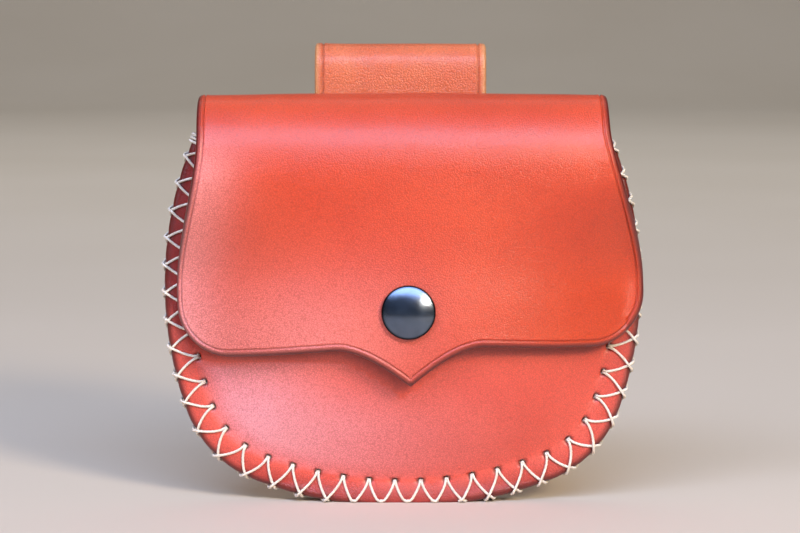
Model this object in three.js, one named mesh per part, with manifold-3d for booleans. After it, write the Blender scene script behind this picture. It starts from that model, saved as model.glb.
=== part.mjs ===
// Belt purse of stout leather: a back panel that rolls over as the flap, a bowl-shaped front, a belt loop
// behind and a press snap. Millimetres, +Z up, front towards -Y. Sizes are given on the upright purse, with x
// across it, y from front to back and v up its back panel; the finished purse then leans back on its rim.
import * as THREE from 'three';
import { mergeVertices } from 'three/addons/utils/BufferGeometryUtils.js';
import Module from 'manifold-3d';

const wasm = await Module();
wasm.setup();

// Leather, seam and stance
const LEATHER = 2.6;
const SEAT_GAP = 0.3;
const HOLLOW_GAP = 0.6;
const MARGIN = 8.5;
const HOLE_INSET = 7.5;
const HOLE_RADIUS = 0.8;
const HOLE_PITCH = 7.4;
const HOLE_PHASE = -0.3;
const LEAN = THREE.MathUtils.degToRad(5.6);
const FOOT_FLARE = 1.1;
const FOOT_TALL = 6;

// Rim outline, each side three tangent arcs: along the bottom, round the corner and up the side
const BOTTOM_RADIUS = 120;
const SIDE_RADIUS = 108;
const CORNER_RADIUS = 34;
const CORNER_X = 29.9;
const CORNER_V = 37.5;
const WIDEST_V = 62;
const SEAM_TOP_V = 102.5;

// Bowl of the front panel
const MOUTH_V = 104;
const BELLY_V = 40;
const BELLY_DEPTH = 20;
const MOUTH_DEPTH = 18;
const BOWL_FULLNESS = 2.8;
const BOWL_LIP = 1.25;

// Fold over the top, from where the back panel starts to turn to where the flap hangs free
const BACK_TURN_V = 104.5;
const FLAP_TURN_V = 93;
const CREST_V = 116;
const CREST_SHARE = 0.42;
const FOLD_ROOM = 1.5;
const CREST_DROOP = 0.4;
const FOLD_HALF = 57.2;
const FOLD_END_DEPTH = 0.78;

// Flap
const FLAP_HALF = 65.9;
const FLAP_WIDEST_V = 58.5;
const FLARE_LOW_V = 61.5;
const FLARE_HIGH_V = 105.5;
const FLAP_CORNER = 15;
const FLAP_EDGE_V = 44.8;
const OGEE_X = 20.3;
const OGEE_BEND = 0.62;
const POINT_V = 34.4;
const FLAP_SKEW = Math.tan(THREE.MathUtils.degToRad(1.5));
const FLAP_SHIFT = 0.75;
const FLAP_CLEARANCE = 4.0;
const FLAP_DRAPE = 2.8;
const FLAP_INSET = 4;

// Belt loop, a strap folded over with both ends against the back panel
const LOOP_HALF = 24.7;
const LOOP_SHIFT = -0.6;
const LOOP_TOP_V = 131.5;
const LOOP_BOTTOM_V = 54;
const LOOP_PASSAGE = 9;
const LOOP_TUCK_V = 67;
const LOOP_TUCK_RUN = 14;

// Press snap, heights along its axis from the grain face of the flap, outwards positive
const SNAP_V = 54.6;
const CAP_RADIUS = 7.5;
const CAP_RISE = 3.0;
const CAP_LIP = 0.9;
const SHANK_RADIUS = 2.0;
const SOCKET_RADIUS = 6.0;
const SOCKET_TALL = 2.2;
const SOCKET_WEB = 0.8;
const STUD_RADIUS = 2.9;
const STUD_FLANGE = 5.0;
const STUD_FLANGE_TALL = 0.5;
const POST_RADIUS = 1.2;
const POST_FLANGE_TALL = 0.8;

// Mesh fineness
const ACROSS = [0, 0.2, 0.4, 0.56, 0.7, 0.81, 0.88, 0.94, 1];
const RIM_STEPS = 22;
const SIDE_ROWS = 7;
const FOLD_ROWS = 10;
const LOWER_EDGE_STEPS = 26;
const LOOP_TURN_STEPS = 10;
const HOLE_SIDES = 6;
const SNAP_SIDES = 28;
const CROWN_STEPS = 8;
const SLOPE_STEP = 1;
const WELD = 1e-4;

const { lerp, smoothstep } = THREE.MathUtils;
const FRONT_FACE = SEAT_GAP / 2 + LEATHER;
const BACK_MID = (SEAT_GAP + LEATHER) / 2;

// Rim outline

// The other side of a right triangle, from its longest side and a short one
function otherSide(longest, side) {
  return Math.sqrt(longest ** 2 - side ** 2);
}

const BOTTOM_ARC = {
  x: 0,
  v: CORNER_V + otherSide(BOTTOM_RADIUS - CORNER_RADIUS, CORNER_X),
  radius: BOTTOM_RADIUS,
};
const TIGHT_ARC = { x: CORNER_X, v: CORNER_V, radius: CORNER_RADIUS };
const SIDE_ARC = {
  x: CORNER_X - otherSide(SIDE_RADIUS - CORNER_RADIUS, WIDEST_V - CORNER_V),
  v: WIDEST_V,
  radius: SIDE_RADIUS,
};
const BOTTOM_TURN = Math.atan2(TIGHT_ARC.v - BOTTOM_ARC.v, TIGHT_ARC.x - BOTTOM_ARC.x);
const SIDE_TURN = Math.atan2(TIGHT_ARC.v - SIDE_ARC.v, TIGHT_ARC.x - SIDE_ARC.x);
const BOWL_CENTRE = new THREE.Vector2(0, WIDEST_V);

// The right half of the rim, or of a line set in from it, from the bottom middle up to the height topV
function rimPath(inset, topV) {
  const topTurn = Math.asin((topV - SIDE_ARC.v) / (SIDE_ARC.radius - inset));
  const path = new THREE.CurvePath();
  const arcs = [
    { arc: BOTTOM_ARC, from: -Math.PI / 2, to: BOTTOM_TURN },
    { arc: TIGHT_ARC, from: BOTTOM_TURN, to: SIDE_TURN },
    { arc: SIDE_ARC, from: SIDE_TURN, to: topTurn },
  ];
  for (const { arc, from, to } of arcs) {
    const radius = arc.radius - inset;
    path.add(new THREE.EllipseCurve(arc.x, arc.v, radius, radius, from, to));
  }
  return path;
}

// Half the width inside the rim at a height above its widest place
function sideHalfWidth(v, inset) {
  return SIDE_ARC.x + otherSide(SIDE_ARC.radius - inset, v - SIDE_ARC.v);
}

// Distance from the bowl's centre to a line set in from the rim, along a direction that points right and down
function rimReach(direction, inset) {
  const slope = Math.atan2(direction.y, direction.x);
  const arcEnds = [BOTTOM_TURN, SIDE_TURN].map((turn, index) => {
    const arc = [BOTTOM_ARC, SIDE_ARC][index];
    const end = new THREE.Vector2(Math.cos(turn), Math.sin(turn)).multiplyScalar(arc.radius - inset);
    return Math.atan2(arc.v + end.y - BOWL_CENTRE.y, arc.x + end.x - BOWL_CENTRE.x);
  });
  let arc = SIDE_ARC;
  if (slope < arcEnds[0]) {
    arc = BOTTOM_ARC;
  } else if (slope < arcEnds[1]) {
    arc = TIGHT_ARC;
  }
  const offset = new THREE.Vector2(arc.x, arc.v).sub(BOWL_CENTRE);
  const along = offset.dot(direction);
  return along + Math.sqrt(along ** 2 - offset.lengthSq() + (arc.radius - inset) ** 2);
}

// How far out a place lies, from 0 on the bowl's middle line to 1 on a line set in from the rim
function bowlSpread(x, v, inset) {
  if (v >= WIDEST_V) {
    return Math.abs(x) / sideHalfWidth(v, inset);
  }
  const arm = new THREE.Vector2(Math.abs(x), v).sub(BOWL_CENTRE);
  const length = arm.length();
  return length / rimReach(arm.divideScalar(length), inset);
}

// Depth of the bowl on its middle line, and the share of it left at a spread
function middleDepth(v) {
  return lerp(BELLY_DEPTH, MOUTH_DEPTH, smoothstep(v, BELLY_V, FLAP_TURN_V));
}

function bowlShare(spread) {
  return spread < 1 ? (1 - spread ** BOWL_FULLNESS) ** BOWL_LIP : 0;
}

// Middle surfaces of the leather pieces

// The two edges of the rim spread apart where the purse stands on them
function footFlare(v) {
  return FOOT_FLARE * (1 - smoothstep(v, 0, FOOT_TALL));
}

function backPoint(x, v) {
  return new THREE.Vector3(x, BACK_MID + footFlare(v), v);
}

function frontPoint(x, v) {
  const depth = middleDepth(v) * bowlShare(bowlSpread(x, v, MARGIN));
  return new THREE.Vector3(x, -BACK_MID - footFlare(v) - depth, v);
}

// The flap lies over the bowl, closer at its sides, and is straighter from side to side near the fold
function flapDepth(x, v) {
  const lower = bowlShare(bowlSpread(x, v, FLAP_INSET));
  const upper = 1 - (1 - FOLD_END_DEPTH) * (x / FOLD_HALF) ** 2;
  const rise = smoothstep(v, WIDEST_V, FLAP_TURN_V);
  const bulge = (middleDepth(v) + FOLD_ROOM * rise) * lerp(lower, upper, rise);
  const drape = FLAP_DRAPE * (1 - rise) * (x / FLAP_HALF) ** 2;
  return FRONT_FACE + FLAP_CLEARANCE + LEATHER / 2 + bulge - drape;
}

// Where a place on the flap's pattern comes to lie: the flap hangs a little askew from the crest, and its
// sides are cut a little to the right
function skewed(x, v) {
  const drop = CREST_V - v;
  const skew = FLAP_SKEW * smoothstep(drop, 0, CREST_V - FLAP_TURN_V);
  const shift = FLAP_SHIFT * (x / FLAP_HALF) ** 2 * smoothstep(drop, 0, CREST_V - FLAP_WIDEST_V);
  return new THREE.Vector2(x + skew * drop + shift, v + skew * x);
}

function flapPoint(x, v) {
  const place = skewed(x, v);
  return new THREE.Vector3(place.x, -flapDepth(place.x, place.y), place.y);
}

// The fold, as two quarters of ellipses, from the back panel (turn -1) over the crest (0) to the flap (1)
function foldPoint(x, turn) {
  const crestV = CREST_V - LEATHER / 2 - CREST_DROOP * (x / FOLD_HALF) ** 2;
  const front = -flapDepth(x, FLAP_TURN_V);
  const crestY = lerp(BACK_MID, front, CREST_SHARE);
  const endV = turn < 0 ? BACK_TURN_V : FLAP_TURN_V;
  const endY = turn < 0 ? BACK_MID : front;
  const angle = Math.abs(turn) * Math.PI / 2;
  const v = lerp(endV, crestV, Math.cos(angle));
  const place = turn > 0 ? skewed(x, v) : new THREE.Vector2(x, v);
  return new THREE.Vector3(place.x, lerp(crestY, endY, Math.sin(angle)), place.y);
}

// Half the width of the flap at a height above its widest place, and of the fold at a turn
function flapHalfWidth(v) {
  return lerp(FLAP_HALF, FOLD_HALF, smoothstep(v, FLARE_LOW_V, FLARE_HIGH_V));
}

function foldHalfWidth(turn) {
  if (turn > 0) {
    return flapHalfWidth(foldPoint(0, turn).z);
  }
  return lerp(FOLD_HALF, sideHalfWidth(BACK_TURN_V, 0), turn ** 2);
}

// The right half of the flap's lower edge: round corner, long edge, and an ogee down to the middle point
function flapEdgePath() {
  const corner = { x: FLAP_HALF - FLAP_CORNER, v: FLAP_WIDEST_V, radius: FLAP_CORNER };
  const cornerEnd = new THREE.Vector2(corner.x, corner.v - corner.radius);
  const ogee = new THREE.Vector2(OGEE_X, FLAP_EDGE_V);
  const point = new THREE.Vector2(0, POINT_V);
  const path = new THREE.CurvePath();
  path.add(new THREE.EllipseCurve(corner.x, corner.v, corner.radius, corner.radius, 0, -Math.PI / 2, true));
  path.add(new THREE.QuadraticBezierCurve(cornerEnd, new THREE.Vector2(2 * OGEE_X, cornerEnd.y), ogee));
  path.add(new THREE.QuadraticBezierCurve(ogee, new THREE.Vector2(OGEE_X * OGEE_BEND, FLAP_EDGE_V), point));
  return path;
}

// Leather walls from surfaces

// A surface from rays, each a function of the shares across it, listed in order; a closed one joins the last
// ray to the first
function raySurface(rays, shares, closed) {
  const positions = rays.flatMap((ray) => shares.flatMap((share) => ray(share).toArray()));
  const index = [];
  for (let k = 0; k < (closed ? rays.length : rays.length - 1); k++) {
    const here = k * shares.length;
    const next = ((k + 1) % rays.length) * shares.length;
    for (let m = 0; m < shares.length - 1; m++) {
      index.push(here + m, here + m + 1, next + m + 1);
      index.push(here + m, next + m + 1, next + m);
    }
  }
  const sheet = new THREE.BufferGeometry();
  sheet.setAttribute('position', new THREE.Float32BufferAttribute(positions, 3));
  sheet.setIndex(index);
  return mergeVertices(sheet, WELD);
}

// A closed wall of leather about a middle surface
function leatherWall(sheet) {
  const corners = [...sheet.index.array];
  const triangles = [];
  for (let i = 0; i < corners.length; i += 3) {
    const triangle = corners.slice(i, i + 3);
    if (new Set(triangle).size === 3) {
      triangles.push(triangle);
    }
  }
  sheet.setIndex(triangles.flat());
  sheet.computeVertexNormals();

  const { position, normal } = sheet.attributes;
  const points = [];
  for (const side of [1, -1]) {
    for (let i = 0; i < position.count; i++) {
      const step = new THREE.Vector3().fromBufferAttribute(normal, i).multiplyScalar(side * LEATHER / 2);
      points.push(...step.add(new THREE.Vector3().fromBufferAttribute(position, i)));
    }
  }
  const under = position.count;
  const faces = triangles.flatMap(([a, b, c]) => [a, b, c, c + under, b + under, a + under]);
  const edges = new Set(triangles.flatMap(([a, b, c]) => [`${a} ${b}`, `${b} ${c}`, `${c} ${a}`]));
  for (const edge of edges) {
    const [a, b] = edge.split(' ').map(Number);
    if (!edges.has(`${b} ${a}`)) {
      faces.push(b, a, a + under, b, a + under, b + under);
    }
  }
  const wall = new THREE.BufferGeometry();
  wall.setAttribute('position', new THREE.Float32BufferAttribute(points, 3));
  wall.setIndex(faces);
  return wall;
}

// Rays from the bowl's centre down to the rim, from just beside the bottom middle to the widest place
function lowerRays(place) {
  const rim = rimPath(0, WIDEST_V).getSpacedPoints(RIM_STEPS).slice(1, -1);
  return rim.map((edge) => (side) => (share) => {
    const spot = BOWL_CENTRE.clone().lerp(edge, share);
    return place(side * spot.x, spot.y);
  });
}

function bottomRay(place) {
  const lowest = rimPath(0, WIDEST_V).getPoint(0);
  return (share) => place(0, lerp(BOWL_CENTRE.y, lowest.y, share));
}

// Level rays up the sides, from the widest place to a height
function sideRays(place, topV) {
  return Array.from({ length: SIDE_ROWS + 1 }, (_, row) => {
    const v = lerp(WIDEST_V, topV, row / SIDE_ROWS);
    return (side) => (share) => place(side * share * sideHalfWidth(v, 0), v);
  });
}

function frontPanelWall() {
  const rays = [...lowerRays(frontPoint), ...sideRays(frontPoint, MOUTH_V)];
  const right = rays.map((ray) => ray(1));
  const left = rays.map((ray) => ray(-1));
  return leatherWall(raySurface([...right.toReversed(), bottomRay(frontPoint), ...left], ACROSS, false));
}

function backAndFlapWall() {
  const rays = [...lowerRays(backPoint), ...sideRays(backPoint, BACK_TURN_V)];
  for (let row = 1; row <= FOLD_ROWS; row++) {
    const turn = 2 * row / FOLD_ROWS - 1;
    rays.push((side) => (share) => foldPoint(side * share * foldHalfWidth(turn), turn));
  }
  for (let row = 1; row < SIDE_ROWS; row++) {
    const v = lerp(FLAP_TURN_V, FLAP_WIDEST_V, row / SIDE_ROWS);
    rays.push((side) => (share) => flapPoint(side * share * flapHalfWidth(v), v));
  }
  const centre = new THREE.Vector2(0, FLAP_WIDEST_V);
  const edges = flapEdgePath().getSpacedPoints(LOWER_EDGE_STEPS);
  const point = edges.pop();
  for (const edge of edges) {
    rays.push((side) => (share) => {
      const spot = centre.clone().lerp(edge, share);
      return flapPoint(side * spot.x, spot.y);
    });
  }
  const pointRay = (share) => flapPoint(0, lerp(centre.y, point.y, share));
  const right = rays.map((ray) => ray(1));
  const left = rays.map((ray) => ray(-1));
  const ring = [bottomRay(backPoint), ...right, pointRay, ...left.toReversed()];
  return leatherWall(raySurface(ring, ACROSS, true));
}

// The strap's run from the foot of its front leaf, over the top and down to the foot of its rear leaf
function beltLoopWall() {
  const front = FRONT_FACE + SEAT_GAP + LEATHER / 2;
  const radius = (LOOP_PASSAGE + LEATHER) / 2;
  const rear = front + 2 * radius;
  const tail = front + LEATHER + SEAT_GAP;
  const turnV = LOOP_TOP_V - LEATHER / 2 - radius;
  const top = new THREE.EllipseCurve(front + radius, turnV, radius, radius, Math.PI, 0, true);
  const tuck = new THREE.CubicBezierCurve(
    new THREE.Vector2(rear, LOOP_TUCK_V + LOOP_TUCK_RUN),
    new THREE.Vector2(rear, LOOP_TUCK_V + LOOP_TUCK_RUN / 2),
    new THREE.Vector2(tail, LOOP_TUCK_V + LOOP_TUCK_RUN / 2),
    new THREE.Vector2(tail, LOOP_TUCK_V),
  );
  const run = [
    new THREE.Vector2(front, LOOP_BOTTOM_V),
    ...top.getPoints(LOOP_TURN_STEPS),
    ...tuck.getPoints(LOOP_TURN_STEPS),
    new THREE.Vector2(tail, LOOP_BOTTOM_V),
  ];
  const rays = run.map((spot) => (share) => {
    return new THREE.Vector3(LOOP_SHIFT + lerp(-LOOP_HALF, LOOP_HALF, share), spot.x, spot.y);
  });
  return leatherWall(raySurface(rays, [0, 1], false));
}

// Cuts

function solidOf(geometry) {
  const bare = geometry.clone();
  bare.deleteAttribute('normal');
  bare.deleteAttribute('uv');
  const merged = mergeVertices(bare, WELD);
  return new wasm.Manifold(new wasm.Mesh({
    numProp: 3,
    vertProperties: Float32Array.from(merged.attributes.position.array),
    triVerts: Uint32Array.from(merged.index.array),
  }));
}

function carve(geometry, tools) {
  const cut = tools.reduce((body, tool) => body.subtract(solidOf(tool)), solidOf(geometry)).getMesh();
  const carved = new THREE.BufferGeometry();
  carved.setAttribute('position', new THREE.Float32BufferAttribute(cut.vertProperties, cut.numProp));
  carved.setIndex([...cut.triVerts]);
  return carved;
}

// Everything below the plane that the leaning purse stands on, which flattens the bottom of the rim
function floorTool() {
  const block = new THREE.BoxGeometry(2 * SIDE_RADIUS, 16 * LEATHER, 4 * LEATHER);
  return block.translate(0, 0, -2 * LEATHER).rotateX(LEAN);
}

// Stitch holes through both layers of the rim, evenly spaced along both sides from near the bottom middle
function stitchHoleTools() {
  const line = rimPath(HOLE_INSET, SEAM_TOP_V);
  const length = line.getLength();
  const tools = [];
  for (let k = Math.ceil(-length / HOLE_PITCH); k <= length / HOLE_PITCH; k++) {
    const along = (k + HOLE_PHASE) * HOLE_PITCH;
    if (Math.abs(along) <= length) {
      const place = line.getPointAt(Math.abs(along) / length);
      const punch = new THREE.CylinderGeometry(HOLE_RADIUS, HOLE_RADIUS, 4 * LEATHER, HOLE_SIDES);
      tools.push(punch.translate(Math.sign(along) * place.x, 0, place.y));
    }
  }
  return tools;
}

// Press snap, turned about its own axis

// The snap's place on the grain face of the flap, its axis along the outward normal there
function placeSnap(group) {
  const here = flapPoint(0, SNAP_V);
  const up = flapPoint(0, SNAP_V + SLOPE_STEP).sub(here);
  const outward = new THREE.Vector3(0, -up.z, up.y).normalize();
  group.position.copy(here).addScaledVector(outward, LEATHER / 2);
  group.quaternion.setFromUnitVectors(new THREE.Vector3(0, 1, 0), outward);
  group.updateMatrix();
}

function turned(profile) {
  const outline = profile.map(([radius, height]) => new THREE.Vector2(radius, height));
  return new THREE.LatheGeometry(outline, SNAP_SIDES);
}

const SOCKET_TOP = -LEATHER - HOLLOW_GAP;
const SOCKET_FOOT = SOCKET_TOP - SOCKET_TALL;
const SOCKET_ROOF = SOCKET_TOP - SOCKET_WEB;
const PANEL_FACE = -LEATHER - FLAP_CLEARANCE;
const STUD_FOOT = PANEL_FACE + SEAT_GAP;
const STUD_TOP = SOCKET_ROOF - SEAT_GAP;
const POST_FLANGE = PANEL_FACE - LEATHER - HOLLOW_GAP;

function snapCap() {
  const crown = Array.from({ length: CROWN_STEPS + 1 }, (_, step) => {
    const radius = CAP_RADIUS * (1 - step / CROWN_STEPS);
    return [radius, lerp(CAP_RISE, CAP_LIP, (radius / CAP_RADIUS) ** 2)];
  });
  return turned([
    [0, SOCKET_ROOF],
    [SHANK_RADIUS, SOCKET_ROOF],
    [SHANK_RADIUS, SEAT_GAP],
    [CAP_RADIUS - SEAT_GAP, SEAT_GAP],
    ...crown,
  ]);
}

function snapSocket() {
  const bore = SHANK_RADIUS + SEAT_GAP;
  const recess = STUD_RADIUS + SEAT_GAP;
  return turned([
    [recess, SOCKET_FOOT],
    [SOCKET_RADIUS, SOCKET_FOOT],
    [SOCKET_RADIUS, SOCKET_TOP],
    [bore, SOCKET_TOP],
    [bore, SOCKET_ROOF],
    [recess, SOCKET_ROOF],
    [recess, SOCKET_FOOT],
  ]);
}

function snapStud() {
  const bore = POST_RADIUS + SEAT_GAP;
  return turned([
    [bore, STUD_FOOT],
    [STUD_FLANGE, STUD_FOOT],
    [STUD_FLANGE, STUD_FOOT + STUD_FLANGE_TALL],
    [STUD_RADIUS, STUD_FOOT + STUD_FLANGE_TALL],
    [STUD_RADIUS, STUD_TOP],
    [bore, STUD_TOP],
    [bore, STUD_FOOT],
  ]);
}

function snapPost() {
  return turned([
    [0, POST_FLANGE - POST_FLANGE_TALL],
    [STUD_FLANGE, POST_FLANGE - POST_FLANGE_TALL],
    [STUD_FLANGE, POST_FLANGE],
    [POST_RADIUS, POST_FLANGE],
    [POST_RADIUS, STUD_TOP],
    [0, STUD_TOP],
  ]);
}

// A hole along the snap's axis, through one layer of leather
function snapHoleTool(radius, layerTop, frame) {
  const punch = new THREE.CylinderGeometry(radius, radius, 2 * LEATHER, SNAP_SIDES);
  return punch.translate(0, layerTop - LEATHER / 2, 0).applyMatrix4(frame);
}

// Assembly

const tannedLeather = new THREE.MeshStandardMaterial({ color: 0xd8532f, roughness: 0.5, metalness: 0 });
const loopLeather = new THREE.MeshStandardMaterial({ color: 0xd9652f, roughness: 0.55, metalness: 0 });
const gunmetal = new THREE.MeshStandardMaterial({ color: 0x3b4048, roughness: 0.25, metalness: 0.9 });

function piece(name, geometry, material) {
  const mesh = new THREE.Mesh(geometry, material);
  mesh.name = name;
  return mesh;
}

const snap = new THREE.Group();
placeSnap(snap);
snap.add(
  piece('snap_cap', snapCap(), gunmetal),
  piece('snap_socket', snapSocket(), gunmetal),
  piece('snap_stud', snapStud(), gunmetal),
  piece('snap_post', snapPost(), gunmetal),
);

const rimTools = [floorTool(), ...stitchHoleTools()];
const flapHole = snapHoleTool(SHANK_RADIUS + SEAT_GAP, 0, snap.matrix);
const panelHole = snapHoleTool(POST_RADIUS + SEAT_GAP, PANEL_FACE, snap.matrix);

const purse = new THREE.Group();
purse.add(
  piece('back_and_flap', carve(backAndFlapWall(), [...rimTools, flapHole]), tannedLeather),
  piece('front_panel', carve(frontPanelWall(), [...rimTools, panelHole]), tannedLeather),
  piece('belt_loop', beltLoopWall(), loopLeather),
  snap,
);
purse.rotation.x = -LEAN;

// The middle of the footprint goes to the origin
const extent = new THREE.Box3().setFromObject(purse, true);
purse.position.y = -(extent.min.y + extent.max.y) / 2;
purse.position.x = -(extent.min.x + extent.max.x) / 2;

export default purse;
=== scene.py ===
"""A leather belt purse: fine leather, thread and metal over its solid frame, in a plain studio."""

import logging
import math
from collections.abc import Callable
from dataclasses import dataclass, field
from enum import Enum

import bpy
import numpy as np
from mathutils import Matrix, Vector
from mathutils.geometry import delaunay_2d_cdt


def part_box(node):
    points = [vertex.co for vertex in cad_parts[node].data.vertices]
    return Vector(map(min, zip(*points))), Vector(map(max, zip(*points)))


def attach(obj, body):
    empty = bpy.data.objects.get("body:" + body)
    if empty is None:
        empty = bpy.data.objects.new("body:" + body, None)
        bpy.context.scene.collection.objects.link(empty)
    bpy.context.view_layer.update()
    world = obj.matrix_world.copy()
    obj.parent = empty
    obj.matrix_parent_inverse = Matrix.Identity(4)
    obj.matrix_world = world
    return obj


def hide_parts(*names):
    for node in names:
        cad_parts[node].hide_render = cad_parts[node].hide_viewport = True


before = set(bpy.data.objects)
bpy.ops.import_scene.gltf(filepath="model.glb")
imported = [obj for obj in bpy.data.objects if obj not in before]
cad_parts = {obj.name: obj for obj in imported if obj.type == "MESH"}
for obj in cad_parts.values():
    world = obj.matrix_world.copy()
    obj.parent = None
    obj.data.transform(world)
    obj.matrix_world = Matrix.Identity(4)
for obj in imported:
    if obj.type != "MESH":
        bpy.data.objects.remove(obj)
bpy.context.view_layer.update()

Array = np.ndarray
Value = float | Array
Span = tuple[float, float]
Surface = Callable[[Array, Array], Array]
log = logging.getLogger("belt_purse")

MM = 0.001
BODY = "root"
FLOOR = np.array([-math.inf, -math.inf, 0.0])   # no place lies below it
SLOPE_STEP = 0.15      # millimetres between the places that give a surface its slope
ARC_STEPS = 80         # straight steps in each drawn arc or curve
LINE_STEP = 0.5        # millimetres between the points of a measured line
BLOCK = 500            # pattern points measured at a time
TINY = 1e-6            # a length in millimetres that stands for none
MERGE = 1e-5           # pattern points closer than this become one
ON_RIM = 1e-3          # pattern points closer than this to the outline lie on it
RING_SLIP = 0.02       # how far a ring's point may lie nearer to the outline than its ring
CREASE_STEPS = (-2.4, -1.6, -0.8, 0.0, 0.8, 1.6, 2.6, 5.0)   # mesh lines over a crease, in crease widths
HOLE_RINGS = (0.0, 0.18, 0.42, 0.8, 1.4)   # mesh lines round a hole, in millimetres outside it
EDGE_ANGLES = range(0, 91, 15)   # degrees round a cut edge at which the mesh has a line
WAVES = ((17.0, 37.0, 1.0), (math.inf, 13.0, 0.7), (6.1, 7.3, 2.1))   # lengths across and along, and a phase


# Small shared helpers

def mix(start: Value, end: Value, share: Value) -> Value:
    """Gives the value part of the way from start to end."""
    return start + (end - start) * share


def smoothstep(value: Value, low: float, high: float) -> Value:
    """Gives the smooth rise from 0 at low to 1 at high."""
    share = np.clip((value - low) / (high - low), 0.0, 1.0)
    return share * share * (3.0 - 2.0 * share)


def hump(value: Value, width: float) -> Value:
    """Gives a round hump of height 1 about zero."""
    return np.exp(-(value / width) ** 2)


def swell(x: Array, s: Array) -> Array:
    """Gives the slow unevenness of a worked hide: long waves, and short ones half as high."""
    slow, level, quick = (np.sin(x / across + s / along + phase) for across, along, phase in WAVES)
    return slow * level + 0.5 * quick


def around(angle: Array) -> Array:
    """Gives the points of a circle of radius 1 at angles."""
    return np.column_stack([np.cos(angle), np.sin(angle)])


def outward_ways(outline: Array) -> Array:
    """Gives the way out at each point of a closed anticlockwise outline."""
    side = np.roll(outline, -1, axis=0) - np.roll(outline, 1, axis=0)
    return np.column_stack([side[:, 1], -side[:, 0]]) / np.linalg.norm(side, axis=1)[:, None]


def reaches(points: Array) -> Array:
    """Gives the distance along a line of points, from its first point to each."""
    return np.concatenate([[0.0], np.cumsum(np.linalg.norm(np.diff(points, axis=0), axis=1))])


def along_line(places: Array, reach: Array, points: Array) -> Array:
    """Gives the points at places along a line."""
    return np.column_stack([np.interp(places, reach, column) for column in points.T])


def evenly(points: Array, step: float) -> Array:
    """Spaces points evenly along a line, and keeps its ends.

    Args:
        points: The line's points, a row each.
        step: The distance between the new points, about.

    Returns:
        The new points.
    """
    reach = reaches(points)
    count = max(2, round(reach[-1] / step) + 1)
    return along_line(np.linspace(0.0, reach[-1], count), reach, points)


def linear(hex_colour: str) -> tuple[float, float, float, float]:
    """Turns an sRGB hex value, six digits, into linear red, green, blue and an alpha of 1."""
    parts = [int(hex_colour[i:i + 2], 16) / 255.0 for i in (0, 2, 4)]
    return *(c / 12.92 if c <= 0.04045 else ((c + 0.055) / 1.055) ** 2.4 for c in parts), 1.0


def per_metre(size_mm: float) -> float:
    """Gives the texture scale whose features are about size_mm wide on Object coordinates."""
    return 1.0 / (size_mm * MM)


def add_node(
    tree: bpy.types.NodeTree, kind: str, inputs: dict | None = None, **settings: object,
) -> bpy.types.Node:
    """Adds a node to a tree with its settings and its inputs.

    Args:
        tree: The node tree.
        kind: The node's type name.
        inputs: Each input by name or number, with a plain value or a socket to link from.
        settings: The node's own properties.

    Returns:
        The new node.
    """
    node = tree.nodes.new(kind)
    for name, value in settings.items():
        setattr(node, name, value)
    for name, value in (inputs or {}).items():
        if isinstance(value, bpy.types.NodeSocket):
            tree.links.new(value, node.inputs[name])
        else:
            node.inputs[name].default_value = value
    return node


def new_mesh(name: str, corners: list, edges: list, faces: list) -> bpy.types.Mesh:
    """Makes a mesh.

    Args:
        name: The mesh's name.
        corners: Its points in metres.
        edges: Its bare edges.
        faces: Its faces.

    Returns:
        The mesh.
    """
    mesh = bpy.data.meshes.new(name)
    mesh.from_pydata(corners, edges, faces)
    return mesh


def new_piece(name: str, mesh: bpy.types.Mesh) -> bpy.types.Object:
    """Shades a mesh smooth and puts it into the scene.

    Args:
        name: The piece's name.
        mesh: Its mesh.

    Returns:
        The piece.
    """
    mesh.polygons.foreach_set("use_smooth", np.ones(len(mesh.polygons), dtype=bool))
    piece = bpy.data.objects.new(name, mesh)
    bpy.context.scene.collection.objects.link(piece)
    return piece


def set_mark(mesh: bpy.types.Mesh, name: str, values: Array) -> None:
    """Keeps a value at each point of a mesh, for its finish to read."""
    mesh.attributes.new(name, "FLOAT", "POINT").data.foreach_set("value", values.astype(np.float32))


# Form of the purse, in millimetres on the upright purse: x across, y to the back, v up the back panel

@dataclass(frozen=True)
class Arc:
    """A circle's centre and radius."""

    x: float
    v: float
    radius: float


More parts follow.
